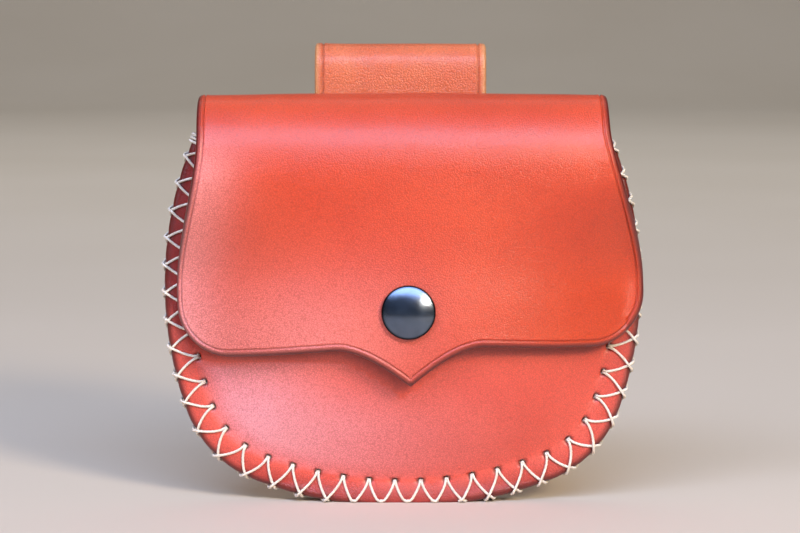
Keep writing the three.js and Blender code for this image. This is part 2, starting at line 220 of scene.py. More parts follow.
@dataclass(frozen=True)
class Rim:
    """The purse's outline: on each side three tangent arcs, along the bottom, round a corner and up."""

    bottom_radius: float = 120.0
    side_radius: float = 108.0
    corner: Arc = Arc(29.9, 37.5, 34.0)
    widest_v: float = 62.0

    @property
    def bottom(self) -> Arc:
        """The long arc along the bottom."""
        rise = math.sqrt((self.bottom_radius - self.corner.radius) ** 2 - self.corner.x ** 2)
        return Arc(0.0, self.corner.v + rise, self.bottom_radius)

    @property
    def side(self) -> Arc:
        """The long arc up the side."""
        run = math.sqrt((self.side_radius - self.corner.radius) ** 2 - (self.widest_v - self.corner.v) ** 2)
        return Arc(self.corner.x - run, self.widest_v, self.side_radius)

    @property
    def turns(self) -> Span:
        """The angles at which the bottom arc meets the corner, and the corner the side."""
        x, v = self.corner.x, self.corner.v
        return tuple(math.atan2(v - arc.v, x - arc.x) for arc in (self.bottom, self.side))

    def half_line(self, inset: float, top_v: float) -> Array:
        """Draws the right half of a line set in from the rim.

        Args:
            inset: How far inside the rim the line runs.
            top_v: The height at which it ends.

        Returns:
            Its points, from the bottom middle upwards.
        """
        low, high = self.turns
        top = math.asin((top_v - self.side.v) / (self.side.radius - inset))
        runs = []
        for arc, start, end in (
            (self.bottom, -math.pi / 2, low), (self.corner, low, high), (self.side, high, top),
        ):
            turn = around(np.linspace(start, end, ARC_STEPS))
            runs.append((arc.x, arc.v) + (arc.radius - inset) * turn)
        return np.vstack([runs[0], runs[1][1:], runs[2][1:]])

    def half_width(self, v: Value, inset: float) -> Value:
        """Gives half the width inside the rim at a height above its widest place."""
        return self.side.x + np.sqrt((self.side.radius - inset) ** 2 - (v - self.side.v) ** 2)

    def reach(self, across: Array, up: Array, inset: float) -> Array:
        """Gives the distance from the bowl's centre to a line set in from the rim.

        Args:
            across: The rightward share of each direction.
            up: The upward share of each direction, never above zero.
            inset: How far inside the rim the line runs.

        Returns:
            The distance along each direction.
        """
        ends = []
        for arc, turn in zip((self.bottom, self.side), self.turns):
            radius = arc.radius - inset
            end_v = arc.v + radius * math.sin(turn) - self.widest_v
            ends.append(math.atan2(end_v, arc.x + radius * math.cos(turn)))
        pick = np.searchsorted(ends, np.arctan2(up, across), side="right")
        arcs = (self.bottom, self.corner, self.side)
        table = np.array([(arc.x, arc.v - self.widest_v, arc.radius) for arc in arcs])
        centre_x, centre_v, radius = table[pick].T
        along = centre_x * across + centre_v * up
        return along + np.sqrt(along ** 2 - centre_x ** 2 - centre_v ** 2 + (radius - inset) ** 2)

    def spread(self, x: Array, v: Array, inset: float) -> Array:
        """Gives how far out places lie, from 0 on the bowl's middle line to 1 on a line inside the rim.

        Args:
            x: Places across the purse.
            v: Their heights.
            inset: How far inside the rim the line runs.

        Returns:
            The share of the way out.
        """
        side = np.abs(x)
        level = side / self.half_width(np.maximum(v, self.widest_v), inset)
        drop = np.minimum(v - self.widest_v, 0.0)
        length = np.maximum(np.hypot(side, drop), TINY)
        return np.where(v >= self.widest_v, level, length / self.reach(side / length, drop / length, inset))


@dataclass(frozen=True)
class Seam:
    """The laced seam round the rim: its margin, its punched holes and the spread foot."""

    margin: float = 8.5
    hole_inset: float = 7.5
    hole_radius: float = 0.8
    hole_pitch: float = 7.4
    hole_phase: float = -0.3
    top_v: float = 102.5
    foot_flare: float = 1.1
    foot_tall: float = 6.0


@dataclass(frozen=True)
class Bowl:
    """The bulge of the front panel."""

    mouth_v: float = 104.0
    belly_v: float = 40.0
    belly_depth: float = 20.0
    mouth_depth: float = 18.0
    fullness: float = 2.8
    lip: float = 1.25

    def share(self, spread: Array) -> Array:
        """Gives the share of the middle depth that is left at a spread."""
        return (1.0 - np.minimum(spread, 1.0) ** self.fullness) ** self.lip


@dataclass(frozen=True)
class Flap:
    """The fold over the top and the flap that hangs from it, a little askew."""

    back_turn_v: float = 104.5
    turn_v: float = 93.0
    crest_v: float = 116.0
    crest_share: float = 0.42
    crest_droop: float = 0.4
    fold_room: float = 1.5
    fold_half: float = 57.2
    fold_end_depth: float = 0.78
    half: float = 65.9
    widest_v: float = 58.5
    flare_low_v: float = 61.5
    flare_high_v: float = 105.5
    corner: float = 15.0
    edge_v: float = 44.8
    ogee_x: float = 20.3
    ogee_bend: float = 0.62
    point_v: float = 34.4
    skew: float = math.tan(math.radians(1.5))
    shift: float = 0.75
    clearance: float = 4.0
    drape: float = 2.8
    inset: float = 4.0

    def skewed(self, x: Array, v: Array) -> tuple[Array, Array]:
        """Gives where places on the flap's pattern come to lie.

        Args:
            x: Places across the pattern.
            v: Their heights on the pattern.

        Returns:
            The places across and up the purse.
        """
        drop = self.crest_v - v
        skew = self.skew * smoothstep(drop, 0.0, self.crest_v - self.turn_v)
        shift = self.shift * (x / self.half) ** 2 * smoothstep(drop, 0.0, self.crest_v - self.widest_v)
        return x + skew * drop + shift, v + skew * x

    def half_width(self, v: Array) -> Array:
        """Gives half the flap's width at a height above its widest place."""
        return mix(self.half, self.fold_half, smoothstep(v, self.flare_low_v, self.flare_high_v))

    def lower_edge(self) -> Array:
        """Draws the right half of the lower edge.

        Returns:
            Its points: round the corner, along the edge and down an ogee to the middle point.
        """
        turn = around(np.linspace(0.0, -math.pi / 2, ARC_STEPS))
        share = np.linspace(0.0, 1.0, ARC_STEPS)[:, None]
        corner = (self.half - self.corner, self.widest_v) + self.corner * turn
        ogee = np.array([self.ogee_x, self.edge_v])
        bends = (
            (corner[-1], np.array([2 * self.ogee_x, corner[-1, 1]]), ogee),
            (ogee, np.array([self.ogee_x * self.ogee_bend, self.edge_v]), np.array([0.0, self.point_v])),
        )
        curves = [mix(mix(a, b, share), mix(b, c, share), share) for a, b, c in bends]
        return np.vstack([corner, curves[0][1:], curves[1][1:]])

    def edge_height(self, x: Array) -> Array:
        """Gives the lower edge's height at places across the purse."""
        half = self.lower_edge()
        return np.interp(x, *self.skewed(*np.vstack([half * (-1, 1), half[::-1]]).T))


@dataclass(frozen=True)
class Loop:
    """The belt loop: a strap folded over, with both ends against the back panel."""

    half: float = 24.7
    shift: float = -0.6
    top_v: float = 131.5
    bottom_v: float = 54.0
    passage: float = 9.0
    tuck_v: float = 67.0
    tuck_run: float = 14.0


@dataclass
class PurseForm:
    """The middle surfaces of the purse's leather pieces, and how the purse leans on the floor."""

    leather: float = 2.6
    seat_gap: float = 0.3
    lean: float = math.radians(5.6)
    snap_v: float = 54.6
    rim: Rim = Rim()
    seam: Seam = Seam()
    bowl: Bowl = Bowl()
    flap: Flap = Flap()
    loop: Loop = Loop()
    offset: Array = field(init=False)
    fold_turn: Array = field(init=False)
    fold_reach: Array = field(init=False)

    def __post_init__(self) -> None:
        """Measures the fold's length and finds where the frame put the purse."""
        self.fold_turn = np.linspace(-1.0, 1.0, 4 * ARC_STEPS)
        middle = self.fold(np.zeros_like(self.fold_turn), self.fold_turn)
        self.fold_reach = self.flap.back_turn_v + reaches(middle)
        low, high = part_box("belt_loop")
        foot = np.array([[self.loop.shift, self.front_face + self.seat_gap, self.loop.bottom_v]])
        found = np.array([(low.x + high.x) / 2, low.y, 0.0]) / MM
        self.offset = found - self.leaned(foot)[0]
        self.offset[2] = 0.0

    @property
    def front_face(self) -> float:
        """The distance from the seam's middle to its outer faces."""
        return self.seat_gap / 2 + self.leather

    @property
    def mid(self) -> float:
        """The distance from the seam's middle to the middle of either layer."""
        return (self.seat_gap + self.leather) / 2

    def leaned(self, points: Array) -> Array:
        """Turns upright points back about the floor line."""
        (x, y, v), sine, cosine = points.T, math.sin(self.lean), math.cos(self.lean)
        return np.column_stack([x, y * cosine + v * sine, v * cosine - y * sine])

    def place(self, points: Array) -> Array:
        """Takes upright points in millimetres to the frame in metres, none below the floor."""
        return np.maximum(self.leaned(points) + self.offset, FLOOR) * MM

    def foot(self, v: Array) -> Array:
        """Gives how far each layer of the rim spreads near the floor."""
        return self.seam.foot_flare * (1.0 - smoothstep(v, 0.0, self.seam.foot_tall))

    def depth(self, v: Array) -> Array:
        """Gives the bowl's depth on its middle line."""
        rise = smoothstep(v, self.bowl.belly_v, self.flap.turn_v)
        return mix(self.bowl.belly_depth, self.bowl.mouth_depth, rise)

    def back(self, x: Array, v: Array) -> Array:
        """Gives points of the back panel."""
        return np.column_stack([x, self.mid + self.foot(v), v])

    def front(self, x: Array, v: Array) -> Array:
        """Gives points of the front panel."""
        bulge = self.depth(v) * self.bowl.share(self.rim.spread(x, v, self.seam.margin))
        return np.column_stack([x, -self.mid - self.foot(v) - bulge, v])

    def flap_depth(self, x: Array, v: Array) -> Array:
        """Gives how far the flap lies in front of the seam: over the bowl, and straighter near the fold.

        Args:
            x: Places across the purse.
            v: Their heights.

        Returns:
            The depth of the flap's middle surface.
        """
        lower = self.bowl.share(self.rim.spread(x, v, self.flap.inset))
        upper = 1.0 - (1.0 - self.flap.fold_end_depth) * (x / self.flap.fold_half) ** 2
        rise = smoothstep(v, self.rim.widest_v, self.flap.turn_v)
        bulge = (self.depth(v) + self.flap.fold_room * rise) * mix(lower, upper, rise)
        drape = self.flap.drape * (1.0 - rise) * (x / self.flap.half) ** 2
        return self.front_face + self.flap.clearance + self.leather / 2 + bulge - drape

    def hang(self, x: Array, v: Array) -> Array:
        """Gives points of the flap below the fold."""
        across, up = self.flap.skewed(x, v)
        return np.column_stack([across, -self.flap_depth(across, up), up])

    def fold(self, x: Array, turn: Array) -> Array:
        """Gives points of the fold.

        Args:
            x: Places across the pattern.
            turn: From -1 at the back panel over 0 at the crest to 1 at the flap.

        Returns:
            Points of its middle surface.
        """
        flap = self.flap
        crest_v = flap.crest_v - self.leather / 2 - flap.crest_droop * (x / flap.fold_half) ** 2
        front = -self.flap_depth(x, np.full_like(x, flap.turn_v))
        behind = turn < 0
        angle = np.abs(turn) * math.pi / 2
        v = mix(np.where(behind, flap.back_turn_v, flap.turn_v), crest_v, np.cos(angle))
        crest_y = mix(self.mid, front, flap.crest_share)
        y = mix(crest_y, np.where(behind, self.mid, front), np.sin(angle))
        across, up = flap.skewed(x, v)
        return np.column_stack([np.where(behind, x, across), y, np.where(behind, v, up)])

    def flap_reach(self, v: Value) -> Value:
        """Gives the place down the back piece's pattern of a height on the flap, and the other way round."""
        return self.fold_reach[-1] + self.flap.turn_v - v

    def back_piece(self, x: Array, s: Array) -> Array:
        """Gives points of the back piece by its flat pattern: up the back, over the fold, down the flap.

        Args:
            x: Places across the pattern.
            s: Distances up from the seam's floor line.

        Returns:
            Points of its middle surface.
        """
        folded = self.fold(x, np.interp(s, self.fold_reach, self.fold_turn))
        above = np.where((s < self.fold_reach[-1])[:, None], folded, self.hang(x, self.flap_reach(s)))
        return np.where((s <= self.flap.back_turn_v)[:, None], self.back(x, s), above)

    def seam_places(self) -> Array:
        """Gives where the stitch holes lie.

        Returns:
            Their distances along the seam from the bottom middle, leftwards negative.
        """
        length = reaches(self.rim.half_line(self.seam.hole_inset, self.seam.top_v))[-1]
        count = math.ceil(length / self.seam.hole_pitch)
        along = (np.arange(-count, count + 1) + self.seam.hole_phase) * self.seam.hole_pitch
        return along[np.abs(along) <= length]

    def seam_spots(self, along: Array, inset: Array) -> Array:
        """Gives places across and up the purse by the seam.

        Args:
            along: Distances along the line of holes, leftwards negative.
            inset: Distances inside the rim, below zero outside it.

        Returns:
            A row of x and v for each.
        """
        seam = self.seam
        line = evenly(self.rim.half_line(seam.hole_inset, seam.top_v + seam.margin), LINE_STEP)
        reach = reaches(line)
        tangent = np.gradient(line, reach, axis=0)
        outward = np.column_stack([tangent[:, 1], -tangent[:, 0]])
        far = np.abs(along)
        ways = along_line(far, reach, outward) * (seam.hole_inset - inset)[:, None]
        spots = along_line(far, reach, line) + ways
        return spots * np.column_stack([np.sign(along), np.ones_like(along)])

    def snap_seat(self) -> tuple[Array, Array]:
        """Finds where the snap sits.

        Returns:
            Its place on the flap's grain face, and the way its axis points.
        """
        here, above = self.hang(np.zeros(2), np.array([self.snap_v, self.snap_v + 1.0]))
        up = above - here
        outward = np.array([0.0, -up[2], up[1]])
        outward /= np.linalg.norm(outward)
        return here + outward * self.leather / 2, outward


# Leather pieces

@dataclass
class LeatherSheet:
    """A cut of leather on its flat pattern, raised to a closed wall with rounded edges and punched holes."""

    outline: Array
    surface: Surface
    thickness: float
    outward: int = 1
    holes: list[tuple[float, float, float]] = field(default_factory=list)
    crease_weight: Surface | None = None
    painted_tone: Surface | None = None
    edge_round: float = 1.3
    edge_fade: float = 2.0
    edge_full: float = 0.2
    crease_inset: float = 2.05
    crease_width: float = 0.24
    crease_depth: float = 0.3
    crease_painted_shade: float = 0.45
    crease_gap: float = 0.1
    bead: float = 0.45
    bead_offset: float = 2.0
    grid: float = 2.3
    hole_sides: int = 14
    dimple: float = 0.5
    dimple_width: float = 0.55
    wave: float = 0.1
    least_half: float = 0.2

    def rings(self) -> list[float]:
        """Finds where the mesh has a line of its own along the outline.

        Returns:
            The lines' distances inside the outline.
        """
        bend = [self.edge_round * (1.0 - math.cos(math.radians(angle))) for angle in EDGE_ANGLES]
        groove = [self.crease_inset + step * self.crease_width for step in CREASE_STEPS]
        return bend + [distance for distance in groove if distance > bend[-1] + self.crease_gap]

    def edge_distance(self, points: Array) -> Array:
        """Measures how far pattern points lie from the outline.

        Args:
            points: The pattern points, a row each.

        Returns:
            Each one's distance.
        """
        start = self.outline
        side = np.roll(start, -1, axis=0) - start
        length = (side ** 2).sum(axis=1)
        found = []
        for block in np.array_split(points, max(1, len(points) // BLOCK)):
            arm = block[:, None, :] - start[None]
            share = np.clip((arm * side).sum(axis=2) / length, 0.0, 1.0)
            found.append(np.linalg.norm(arm - share[..., None] * side, axis=2).min(axis=1))
        return np.concatenate(found)

    def inside(self, points: Array) -> Array:
        """Tells which pattern points lie inside the outline.

        Args:
            points: The pattern points, a row each.

        Returns:
            True for each that does.
        """
        x, y = self.outline.T
        next_x, next_y = np.roll(x, -1), np.roll(y, -1)
        rise = np.where(next_y == y, 1.0, next_y - y)
        found = []
        for block in np.array_split(points, max(1, len(points) // BLOCK)):
            across, up = block[:, :1], block[:, 1:]
            spans = (y > up) != (next_y > up)
            crosses = across < x + (up - y) / rise * (next_x - x)
            found.append(np.count_nonzero(spans & crosses, axis=1) % 2 == 1)
        return np.concatenate(found)

    def filling(self) -> Array:
        """Spreads points over the pattern between its ring lines and its holes.

        Returns:
            The points, in staggered rows.
        """
        low, high = self.outline.min(axis=0), self.outline.max(axis=0)
        across = np.arange(low[0], high[0], self.grid)
        rows = np.arange(low[1], high[1], self.grid * math.sqrt(3) / 2)
        stagger = self.grid / 2 * (np.arange(len(rows)) % 2)
        spread = np.column_stack([(across + stagger[:, None]).ravel(), np.repeat(rows, len(across))])
        spread = spread[self.inside(spread)]
        spread = spread[self.edge_distance(spread) > self.rings()[-1] + self.grid / 2]
        for x, v, radius in self.holes:
            gap = np.hypot(spread[:, 0] - x, spread[:, 1] - v)
            spread = spread[gap > radius + HOLE_RINGS[-1] + self.grid / 2]
        return spread

    def pattern(self) -> tuple[Array, Array]:
        """Meshes the flat pattern.

        Returns:
            Its points, and its triangles as rows of three point numbers, anticlockwise.
        """
        outward = outward_ways(self.outline)
        points, edges, count = [], [], 0
        for distance in self.rings():
            ring = self.outline - distance * outward
            kept = self.edge_distance(ring) > distance - RING_SLIP
            number = count + np.cumsum(kept) - 1
            joined = kept & np.roll(kept, -1)
            edges += zip(number[joined].tolist(), np.roll(number, -1)[joined].tolist())
            points.append(ring[kept])
            count += int(kept.sum())
        circle = around(np.arange(self.hole_sides) * 2 * math.pi / self.hole_sides)
        for x, v, radius in self.holes:
            for grow in HOLE_RINGS:
                numbers = list(range(count, count + self.hole_sides))
                edges += zip(numbers, numbers[1:] + numbers[:1])
                points.append((x, v) + (radius + grow) * circle)
                count += self.hole_sides
        points.append(self.filling())
        places = [Vector(point) for point in np.vstack(points).tolist()]
        corners, _, faces, *_ = delaunay_2d_cdt(places, edges, [], 1, MERGE)
        corners = np.array([corner[:] for corner in corners])
        faces = np.array([face for face in faces if len(face) == 3])
        middles = corners[faces].mean(axis=1)
        for x, v, radius in self.holes:
            clear = radius * math.cos(math.pi / self.hole_sides)
            solid = np.hypot(middles[:, 0] - x, middles[:, 1] - v) >= clear
            faces, middles = faces[solid], middles[solid]
        return corners, faces

    def normals(self, flat: Array) -> Array:
        """Finds the way that the grain side faces.

        Args:
            flat: Pattern points, a row each.

        Returns:
            The way at each point, of length 1.
        """
        x, s = flat.T
        across = self.surface(x + SLOPE_STEP, s) - self.surface(x - SLOPE_STEP, s)
        along = self.surface(x, s + SLOPE_STEP) - self.surface(x, s - SLOPE_STEP)
        facing = self.outward * np.cross(across, along)
        return facing / np.linalg.norm(facing, axis=1)[:, None]

    def pits(self, x: Array, s: Array) -> Array:
        """Gives how far pattern points are drawn down beside a hole.

        Args:
            x: Places across the pattern.
            s: Places along it.

        Returns:
            From 0 far from any hole to 1 at a hole's edge.
        """
        pit = np.zeros(len(x))
        for hole_x, hole_s, radius in self.holes:
            gap = np.maximum(np.hypot(x - hole_x, s - hole_s) - radius, 0.0)
            pit = np.maximum(pit, hump(gap, self.dimple_width))
        return pit

    def build(self, name: str, form: PurseForm) -> bpy.types.Object:
        """Raises the wall.

        Args:
            name: The piece's name.
            form: The purse, which says where the piece stands.

        Returns:
            The piece, with the attributes edge, flesh, pit and tone.
        """
        flat, faces = self.pattern()
        x, s = flat.T
        inset = self.edge_distance(flat)
        rim = inset < ON_RIM
        share = np.minimum(inset / self.edge_round, 1.0)
        half = np.where(rim, 0.0, self.thickness / 2 * np.sqrt(1.0 - (1.0 - share) ** 2))
        body = half > self.least_half
        off = (inset - self.crease_inset) / self.crease_width
        weight = self.crease_weight(x, s) if self.crease_weight else np.zeros(len(flat))
        groove = weight * hump(off, 1.0)
        bead = self.bead * weight * (hump(off - self.bead_offset, 1.0) + hump(off + self.bead_offset, 1.0))
        pit = self.pits(x, s)
        ripple = self.wave * swell(x, s) * share
        relief = self.crease_depth * (bead - groove) - self.dimple * pit + ripple
        middle, facing = self.surface(x, s), self.normals(flat)
        grain = middle + facing * np.where(rim, 0.0, half + relief * body)[:, None]
        flesh = middle + facing * (ripple * body - half)[:, None]

        under = np.where(rim, np.arange(len(flat)), len(flat) + np.cumsum(~rim) - 1)
        if self.outward < 0:
            faces = faces[:, ::-1]
        sides = [*faces.tolist(), *under[faces[:, ::-1]].tolist(), *self.hole_walls(faces, rim, under)]
        mesh = new_mesh(name, form.place(np.vstack([grain, flesh[~rim]])).tolist(), [], sides)
        # Cut edge, partly painted shade: the grain goes toward the edge colour near the cut; on the back and
        # front the dark colour stands for a burnished edge and for the shade under its rounded roll
        cut = 1.0 - smoothstep(inset, self.edge_full * self.edge_fade, self.edge_fade)
        # The painted tone: painted sheen above zero, painted shadow and shade below zero
        painted_tone = self.painted_tone(x, s) if self.painted_tone else np.zeros(len(flat))
        marks = {
            "edge": (cut, cut),
            "flesh": (np.zeros(len(flat)), 1.0 - cut),
            # pit: painted shade darkening the holes and the crease groove
            "pit": (np.maximum(pit, self.crease_painted_shade * groove), pit),
            "painted_tone": (painted_tone, painted_tone),
        }
        for mark, (above, below) in marks.items():
            set_mark(mesh, mark, np.concatenate([above, below[~rim]]))
        return new_piece(name, mesh)

    def hole_walls(self, faces: Array, rim: Array, under: Array) -> list[tuple[int, int, int, int]]:
        """Joins the two sides of the leather round each punched hole.

        Args:
            faces: The grain side's triangles.
            rim: Which points lie on the outline.
            under: Each point's number on the flesh side.

        Returns:
            The walls' faces.
        """
        sides = {(a, b) for face in faces.tolist() for a, b in zip(face, face[1:] + face[:1])}
        open_sides = [(a, b) for a, b in sides if (b, a) not in sides and not (rim[a] and rim[b])]
        return [(b, a, int(under[a]), int(under[b])) for a, b in sorted(open_sides)]


@dataclass(frozen=True)
class PaintedSheenAndShadow:
    """Painted light on the leather: a pale painted sheen above zero, and painted shadow and shade below zero.
    """

    form: PurseForm
    edge_width: float = 12.0
    edge_sheen: float = 0.54
    low_middle: Span = (-32.0, 46.0)
    low_radius: float = 20.0
    low_stretch: float = 1.8
    low_sheen: float = 0.38
    fold_fade: float = 15.0
    front_end: float = 42.0
    front_run: float = 80.0
    front_power: float = 1.7
    sheen_loss: float = 0.65
    sheen_loss_spread: Span = (0.88, 1.0)
    fade: Span = (0.35, 0.75)
    fade_x: Span = (-45.0, -10.0)
    fade_v: Span = (20.0, 38.0)
    # Painted shade on the margin: its tone at the floor and higher up
    margin: Span = (-0.8, -0.28)
    margin_shade_v: Span = (1.0, 18.0)
    margin_shade_spread: Span = (0.97, 1.08)
    painted_shadow_shift: float = 2.0
    painted_shadow_drop: Span = (-0.5, 4.0)

    def on_flap(self, x: Array, s: Array) -> Array:
        """Gives the flap's painted sheen: pale along its left edge and in its lower left.

        Args:
            x: Places across the pattern.
            s: Places along it.

        Returns:
            The tone at each place.
        """
        flap, v = self.form.flap, self.form.flap_reach(s)
        beside = hump((x + flap.half_width(v)) / self.edge_width, 1.0)
        middle_x, middle_v = self.low_middle
        low = hump(np.hypot((x - middle_x) / self.low_stretch, v - middle_v), self.low_radius)
        hanging = 1.0 - smoothstep(v, flap.turn_v, flap.turn_v + self.fold_fade)
        return hanging * (self.edge_sheen * beside + self.low_sheen * low)

    def on_front(self, x: Array, v: Array) -> Array:
        """Gives the front's painted light: a pale painted sheen on its left, painted shade on its margin that
        deepens towards the floor, and the flap's painted shadow below its edge.

        Args:
            x: Places across the pattern.
            v: Their heights.

        Returns:
            The tone at each place.
        """
        spread = self.form.rim.spread(x, v, self.form.seam.hole_inset)
        # Painted sheen: pale to the left, less at the hole line and higher up
        aside = np.clip((self.front_end - x) / self.front_run, 0.0, 1.0) ** self.front_power
        inner = 1.0 - self.sheen_loss * smoothstep(spread, *self.sheen_loss_spread)
        fade = mix(*self.fade, smoothstep(x, *self.fade_x))
        painted_light = aside * inner * (1.0 - fade * smoothstep(v, *self.fade_v))
        # Painted shade on the margin, darkest towards the floor
        margin = mix(*self.margin, smoothstep(v, *self.margin_shade_v))
        painted_light = mix(painted_light, margin, smoothstep(spread, *self.margin_shade_spread))
        # Painted shadow of the flap below its lower edge, shifted left as if lit from the right
        below = self.form.flap.edge_height(x + self.painted_shadow_shift) - v
        return mix(-1.0, painted_light, smoothstep(below, *self.painted_shadow_drop))


@dataclass
class LeatherPieces:
    """The three cut pieces of leather: the back with its flap, the front and the belt loop."""

    form: PurseForm
    painted_sheen_and_shadow: PaintedSheenAndShadow
    outline_step: float = 1.15
    flap_fullness: float = 0.4
    crease_run: float = 8.0
    pinch: float = 0.35
    pinch_width: float = 1.5
    shank_hole: float = 2.3
    post_hole: float = 1.5
    front_edge_fade: float = 2.4
    loop_edge_round: float = 0.7
    loop_crease_inset: float = 2.4
    loop_crease_width: float = 0.3
    loop_crease_band: Span = (3.5, 3.0)

    def pinched(self, outline: Array, grow: Value) -> Array:
        """Draws an outline in where the lacing bites into the rim, and out where a full edge stands proud.

        Args:
            outline: The outline's points, anticlockwise.
            grow: How far each point moves out.

        Returns:
            The moved points.
        """
        places = self.form.seam_places()
        wraps = self.form.seam_spots((places[1:] + places[:-1]) / 2, np.zeros(len(places) - 1))
        gap = np.linalg.norm(outline[:, None] - wraps[None], axis=2).min(axis=1)
        return outline + outward_ways(outline) * (grow - self.pinch * hump(gap, self.pinch_width))[:, None]

    def holes(self) -> list[tuple[float, float, float]]:
        """Gives the punched stitch holes on either pattern.

        Returns:
            Each hole's place across and up, and its radius.
        """
        along, seam = self.form.seam_places(), self.form.seam
        spots = self.form.seam_spots(along, np.full(len(along), seam.hole_inset))
        return [(x, v, seam.hole_radius) for x, v in spots.tolist()]

    def mirrored(self, half: Array) -> Array:
        """Closes a right half outline, drawn from one middle point to the other, into a whole one."""
        right = evenly(half, self.outline_step)
        return np.vstack([right, right[-2:0:-1] * (-1, 1)])

    def back_and_flap(self) -> bpy.types.Object:
        """Builds the back panel, the fold and the flap, which are one piece.

        Returns:
            The piece.
        """
        form, flap = self.form, self.form.flap
        turn = np.linspace(-1.0, 1.0, ARC_STEPS)
        heights = form.fold(np.zeros(ARC_STEPS), turn)[:, 2]
        back_half = mix(flap.fold_half, form.rim.half_width(flap.back_turn_v, 0.0), turn ** 2)
        fold_half = np.where(turn < 0, back_half, flap.half_width(heights))
        fold = np.column_stack([fold_half, np.interp(turn, form.fold_turn, form.fold_reach)])
        v = np.linspace(flap.turn_v, flap.widest_v, ARC_STEPS)
        side = np.column_stack([flap.half_width(v), form.flap_reach(v)])
        lower = flap.lower_edge()
        lower[:, 1] = form.flap_reach(lower[:, 1])
        half = np.vstack([form.rim.half_line(0.0, flap.back_turn_v), fold[1:], side[1:], lower[1:]])
        outline = self.mirrored(half)

        def on_flap(x: Array, s: Array) -> Array:
            """Rises from 0 on the back panel to 1 on the fold and the flap."""
            return smoothstep(s, flap.back_turn_v, flap.back_turn_v + self.crease_run)

        sheet = LeatherSheet(
            self.pinched(outline, self.flap_fullness * on_flap(*outline.T)), form.back_piece, form.leather,
            outward=-1, holes=[*self.holes(), (0.0, float(form.flap_reach(form.snap_v)), self.shank_hole)],
            crease_weight=on_flap, painted_tone=self.painted_sheen_and_shadow.on_flap,
        )
        return sheet.build("leather_back_and_flap", form)

    def front_panel(self) -> bpy.types.Object:
        """Builds the bowl-shaped front.

        Returns:
            The piece.
        """
        form = self.form
        half = np.vstack([form.rim.half_line(0.0, form.bowl.mouth_v), [[0.0, form.bowl.mouth_v]]])
        seat, outward = form.snap_seat()
        post = seat - outward * (form.leather + form.leather / 2 + form.flap.clearance)
        sheet = LeatherSheet(
            self.pinched(self.mirrored(half), 0.0), form.front, form.leather,
            holes=[*self.holes(), (post[0], post[2], self.post_hole)],
            painted_tone=self.painted_sheen_and_shadow.on_front, edge_fade=self.front_edge_fade,
        )
        return sheet.build("leather_front_panel", form)

    def loop_run(self) -> Array:
        """Draws the strap's run, seen from its side.

        Returns:
            Its points, from the foot of the front leaf over the top to the foot of the rear leaf.
        """
        form, loop = self.form, self.form.loop
        front = form.front_face + form.seat_gap + form.leather / 2
        radius = (loop.passage + form.leather) / 2
        rear, tail = front + 2 * radius, front + form.leather + form.seat_gap
        turn = around(np.linspace(math.pi, 0.0, ARC_STEPS))
        top = (front + radius, loop.top_v - form.leather / 2 - radius) + radius * turn
        share = np.linspace(0.0, 1.0, ARC_STEPS)
        bend_y = mix(rear, tail, smoothstep(share, 0.0, 1.0))
        bend = np.column_stack([bend_y, mix(loop.tuck_v + loop.tuck_run, loop.tuck_v, share)])
        return np.vstack([[[front, loop.bottom_v]], top, bend, [[tail, loop.bottom_v]]])

    def belt_loop(self) -> bpy.types.Object:
        """Builds the strap behind the purse.

        Returns:
            The piece.
        """
        loop = self.form.loop
        run = evenly(self.loop_run(), LINE_STEP)
        reach = reaches(run)
        far = reach[-1]
        ends = run[[1, -1]] - run[[0, -2]]
        run = np.vstack([run[:1] - ends[:1], run, run[-1:] + ends[1:]])
        reach = np.concatenate([[-reach[1]], reach, [far + reach[1]]])

        def wrap(x: Array, s: Array) -> Array:
            """Gives points of the strap by its flat pattern."""
            return np.column_stack([x + loop.shift, along_line(s, reach, run)])

        def beside(x: Array, s: Array) -> Array:
            """Rises to 1 along the strap's two long edges."""
            return smoothstep(np.abs(x), *(loop.half - band for band in self.loop_crease_band))

        corners = np.array([[-loop.half, 0.0], [loop.half, 0.0], [loop.half, far], [-loop.half, far]])
        pairs = zip(corners, np.roll(corners, -1, axis=0))
        sides = [evenly(np.vstack(pair), self.outline_step)[:-1] for pair in pairs]
        sheet = LeatherSheet(
            np.vstack(sides), wrap, self.form.leather, crease_weight=beside, edge_round=self.loop_edge_round,
            crease_inset=self.loop_crease_inset, crease_width=self.loop_crease_width,
        )
        return sheet.build("leather_belt_loop", self.form)


# Thread

